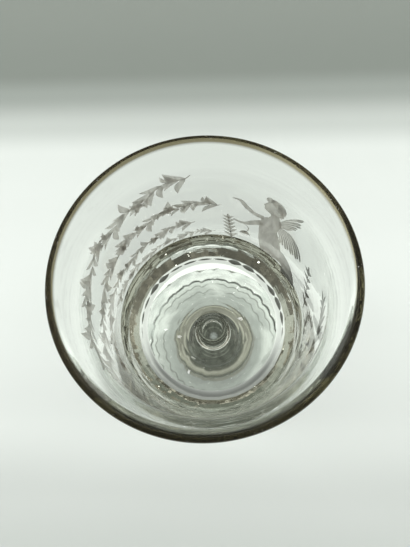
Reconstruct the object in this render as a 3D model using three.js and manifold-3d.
// Engraved drinking glass: a deep bowl on a thick cut base, a slender knopped stem and a round foot.
// Millimetres, +Z up. The origin is the centre of the circle that the foot rests on.

import * as THREE from 'three';
import { mergeVertices } from 'three/addons/utils/BufferGeometryUtils.js';
import Module from 'manifold-3d';

const wasm = await Module();
wasm.setup();

// Foot
const footRadius = 42.5; // widest radius
const footEdgeThickness = 3; // height of the rounded edge
const footHeight = 8; // table to the flat that carries the foot collar
const footSlopeHollow = 1.2; // how far the top's slope sags below a straight cone
const restingRingWidth = 4; // flat ring that touches the table
const footHollowDepth = 1.8; // rise of the underside inside that ring
const polishRadius = 14.8; // ground and polished dish in the middle of the underside
const polishDepth = 1.2; // depth of that dish

// Foot collar, a round bead between the foot and the stem
const footCollarRadius = 20.5;
const footCollarHeight = 6;
const seatMargin = 0.6; // how far a carrying flat reaches past what stands on it

// Stem, a solid rod drawn in above and below one knop
const stemFootRadius = 15;
const lowerWaistRise = 11; // foot of the stem to the lower waist
const waistRadius = 5.5;
const knopLowerRise = 5.5; // lower waist to the middle of the knop
const knopRadius = 10;
const knopUpperRise = 5.5; // middle of the knop to the upper waist
const stemTopRise = 8; // upper waist to the top of the stem
const stemTopRadius = 6;

// Bowl collar, a small bead between the stem and the bowl
const bowlCollarRadius = 8;
const bowlCollarHeight = 4;

// Bowl, outside
const bowlFlatRadius = 18; // flat middle of the underside
const undersideRadius = 41; // outer end of the underside's shallow cone
const undersideRise = 2.6;
const cornerRise = 3.5; // height of the rounded corner between underside and wall
const barrelRadius = 44.5; // upright part of the wall
const barrelRise = 71.9; // height of the upright part
const flareRise = 24; // height of the flare under the rim
const rimRadius = 47.5;

// Bowl, inside
const wallThickness = 2.5;
const baseThickness = 15; // underside to the floor of the bowl
const floorRadius = 32; // flat of the floor
const floorTurnRise = 15; // floor to where the inner wall stands up
const floorTurnPower = 1.7; // over 1 makes the turn from floor to wall slacker than an ellipse
const bandThickening = 0.1; // extra wall just above that turn
const thickeningRise = 12; // height over which that extra wall fades out

// Lip, rounded tightly outside and drawn in long inside
const lipOutsideWidth = 0.9;
const lipOutsideRise = 1.1;
const lipInsideRise = 4.5;

// Facets ground round the base, in rows; the lean of a row is its tilt away from upright, in degrees
const facetCount = 28; // upright facets at the foot of the wall
const facetLean = 15;
const facetMiddleRadius = 42.8;
const facetMiddleRise = 9.5;
const bevelCount = 28; // bevels between the facets and the panels
const bevelLean = 50;
const bevelMiddleRadius = 40.9;
const bevelMiddleRise = 5;
const panelCount = 14; // broad panels that run in under the base
const panelLean = 79;
const panelMiddleRadius = 28;
const panelMiddleRise = 2;
const cutClearance = 5; // how far the grinding form reaches past the bowl

// Fineness of the faceted solids
const roundSteps = 64;

const glassColour = 0xdfe6dd;
const footHubRadius = footCollarRadius - footCollarHeight / 2 + seatMargin;
const stemHeight = lowerWaistRise + knopLowerRise + knopUpperRise + stemTopRise;
const bowlHeight = undersideRise + cornerRise + barrelRise + flareRise;
const quarterTurn = Math.PI / 2;

// Points along a curve that a function of 0 to 1 gives, both ends included
function trace(steps, pointAt) {
  return Array.from({ length: steps + 1 }, (_, i) => pointAt(i / steps));
}

function point(radius, height) {
  return new THREE.Vector2(radius, height);
}

// Quarter of an ellipse that leaves a flat level and ends upright
function turnUp(flatRadius, wallRadius, lowHeight, rise, steps) {
  return trace(steps, (t) => {
    const angle = t * quarterTurn;
    const radius = flatRadius + (wallRadius - flatRadius) * Math.sin(angle);
    return point(radius, lowHeight + rise * (1 - Math.cos(angle)));
  });
}

// Solid of revolution about Z from a profile of radii and heights
function turned(profile) {
  const geometry = new THREE.LatheGeometry(profile, roundSteps);
  geometry.rotateX(quarterTurn);
  return geometry;
}

// Closed solid for cutting, without the empty triangles that a lathe leaves on its axis
function toSolid(geometry) {
  const bare = geometry.clone();
  bare.deleteAttribute('normal');
  bare.deleteAttribute('uv');
  const merged = mergeVertices(bare, 1e-4);
  const corners = merged.index.array;
  const kept = [];
  for (let i = 0; i < corners.length; i += 3) {
    const [a, b, c] = corners.slice(i, i + 3);
    if (a !== b && b !== c && c !== a) kept.push(a, b, c);
  }
  return new wasm.Manifold(new wasm.Mesh({
    numProp: 3,
    vertProperties: new Float32Array(merged.attributes.position.array),
    triVerts: new Uint32Array(kept),
  }));
}

function toGeometry(solid) {
  const mesh = solid.getMesh();
  const geometry = new THREE.BufferGeometry();
  geometry.setAttribute('position', new THREE.BufferAttribute(mesh.vertProperties, 3));
  geometry.setIndex(new THREE.BufferAttribute(mesh.triVerts, 1));
  const faceted = geometry.toNonIndexed();
  faceted.computeVertexNormals();
  return faceted;
}

function glassPiece(name, geometry, height) {
  const material = new THREE.MeshStandardMaterial({
    color: glassColour,
    roughness: 0.05,
    metalness: 0,
    transparent: true,
    opacity: 0.35,
  });
  const piece = new THREE.Mesh(geometry, material);
  piece.name = name;
  piece.position.z = height;
  return piece;
}

// Foot: a shallow cone with a rounded edge, hollow beneath, with a polished dish in the middle
function footProfile() {
  const edge = footEdgeThickness / 2;
  const ringOuter = footRadius - edge;
  const ringInner = ringOuter - restingRingWidth;
  const dish = trace(5, (t) => {
    return point(t * polishRadius, footHollowDepth + polishDepth * (1 - t * t));
  });
  const roundedEdge = trace(6, (t) => {
    const angle = (t * 2 - 1) * quarterTurn;
    return point(ringOuter + edge * Math.cos(angle), edge + edge * Math.sin(angle));
  });
  const slope = trace(7, (t) => {
    const radius = ringOuter + (footHubRadius - ringOuter) * t;
    const cone = footEdgeThickness + (footHeight - footEdgeThickness) * t;
    return point(radius, cone - footSlopeHollow * Math.sin(t * Math.PI) * t);
  });
  return [...dish, point(ringInner, 0), ...roundedEdge, ...slope.slice(1), point(0, footHeight)];
}

// Collar: a disc whose edge is half round
function collarProfile(radius, height) {
  const edge = height / 2;
  const bead = trace(8, (t) => {
    const angle = (t * 2 - 1) * quarterTurn;
    return point(radius - edge + edge * Math.cos(angle), edge + edge * Math.sin(angle));
  });
  return [point(0, 0), ...bead, point(0, height)];
}

// Stretch of the stem that swells or draws in smoothly from one radius to the next
function stemStretch(lowRadius, highRadius, lowHeight, rise) {
  return trace(6, (t) => {
    const ease = (1 - Math.cos(t * Math.PI)) / 2;
    return point(lowRadius + (highRadius - lowRadius) * ease, lowHeight + rise * t);
  });
}

function stemProfile() {
  const knopStart = lowerWaistRise;
  const knopMiddle = knopStart + knopLowerRise;
  const knopEnd = knopMiddle + knopUpperRise;
  return [
    point(0, 0),
    ...stemStretch(stemFootRadius, waistRadius, 0, lowerWaistRise),
    ...stemStretch(waistRadius, knopRadius, knopStart, knopLowerRise).slice(1),
    ...stemStretch(knopRadius, waistRadius, knopMiddle, knopUpperRise).slice(1),
    ...stemStretch(waistRadius, stemTopRadius, knopEnd, stemTopRise).slice(1),
    point(0, stemHeight),
  ];
}

// Radius of the outside of the wall at a height in the flare, which opens faster towards the rim
function flareRadius(height) {
  const t = (height - (bowlHeight - flareRise)) / (flareRise - lipOutsideRise);
  return barrelRadius + (rimRadius - barrelRadius) * t * t;
}

function outsideProfile() {
  const flareStart = bowlHeight - flareRise;
  const lipHeight = bowlHeight - lipOutsideRise;
  const flare = trace(7, (t) => {
    const height = flareStart + (lipHeight - flareStart) * t;
    return point(flareRadius(height), height);
  });
  const roundedLip = trace(4, (t) => {
    const angle = t * quarterTurn;
    const radius = rimRadius - lipOutsideWidth * (1 - Math.cos(angle));
    return point(radius, lipHeight + lipOutsideRise * Math.sin(angle));
  });
  return [
    point(0, 0),
    point(bowlFlatRadius, 0),
    ...turnUp(undersideRadius, barrelRadius, undersideRise, cornerRise, 6),
    ...flare,
    ...roundedLip.slice(1),
  ];
}

// The inside of the lip runs from the crest of the rim down to the inner wall
function insideProfile() {
  const flareStart = bowlHeight - flareRise;
  const lipLow = bowlHeight - lipInsideRise;
  const crestRadius = rimRadius - lipOutsideWidth;
  const bandTop = baseThickness + floorTurnRise;
  const bandRadius = barrelRadius - wallThickness - bandThickening;
  const lip = trace(7, (t) => {
    const ease = Math.sin(t * quarterTurn);
    const height = lipLow + lipInsideRise * Math.cos(t * quarterTurn);
    const drawnIn = flareRadius(lipLow) - wallThickness - crestRadius;
    const follow = flareRadius(height) - flareRadius(lipLow);
    return point(crestRadius + drawnIn * ease + follow * ease * ease, height);
  });
  const flare = trace(7, (t) => {
    const height = lipLow + (flareStart - lipLow) * t;
    return point(flareRadius(height) - wallThickness, height);
  });
  const turn = trace(9, (t) => {
    const out = Math.cos(t * quarterTurn) ** floorTurnPower;
    const down = Math.sin(t * quarterTurn) ** floorTurnPower;
    const radius = floorRadius + (bandRadius - floorRadius) * out;
    return point(radius, baseThickness + floorTurnRise * (1 - down));
  });
  return [
    ...lip.slice(1),
    ...flare.slice(1),
    point(barrelRadius - wallThickness, bandTop + thickeningRise),
    ...turn,
    point(0, baseThickness),
  ];
}

// Keeps what lies inside a many-sided cone, which grinds one row of equal facets round the bowl
function grindRow(solid, count, leanDegrees, middleRadius, middleRise) {
  const spread = Math.tan(THREE.MathUtils.degToRad(leanDegrees));
  const low = Math.max(-cutClearance, middleRise - middleRadius / spread);
  const high = bowlHeight + cutClearance;
  const toCorner = 1 / Math.cos(Math.PI / count);
  const radiusAt = (height) => Math.max(0, middleRadius + (height - middleRise) * spread) * toCorner;
  const cone = new THREE.CylinderGeometry(radiusAt(high), radiusAt(low), high - low, count);
  cone.rotateX(quarterTurn);
  cone.rotateZ(Math.PI / count);
  cone.translate(0, 0, (low + high) / 2);
  return solid.intersect(toSolid(cone));
}

function cutBowl() {
  let solid = toSolid(turned([...outsideProfile(), ...insideProfile()]));
  solid = grindRow(solid, facetCount, facetLean, facetMiddleRadius, facetMiddleRise);
  solid = grindRow(solid, bevelCount, bevelLean, bevelMiddleRadius, bevelMiddleRise);
  solid = grindRow(solid, panelCount, panelLean, panelMiddleRadius, panelMiddleRise);
  return toGeometry(solid);
}

// The pieces stand face to face, one on top of the other
const footCollarHeightAt = footHeight;
const stemHeightAt = footCollarHeightAt + footCollarHeight;
const bowlCollarHeightAt = stemHeightAt + stemHeight;
const bowlHeightAt = bowlCollarHeightAt + bowlCollarHeight;

const glass = new THREE.Group();
glass.add(
  glassPiece('foot', turned(footProfile()), 0),
  glassPiece('foot_collar', turned(collarProfile(footCollarRadius, footCollarHeight)), footCollarHeightAt),
  glassPiece('knopped_stem', turned(stemProfile()), stemHeightAt),
  glassPiece('bowl_collar', turned(collarProfile(bowlCollarRadius, bowlCollarHeight)), bowlCollarHeightAt),
  glassPiece('bowl', cutBowl(), bowlHeightAt),
);

export default glass;
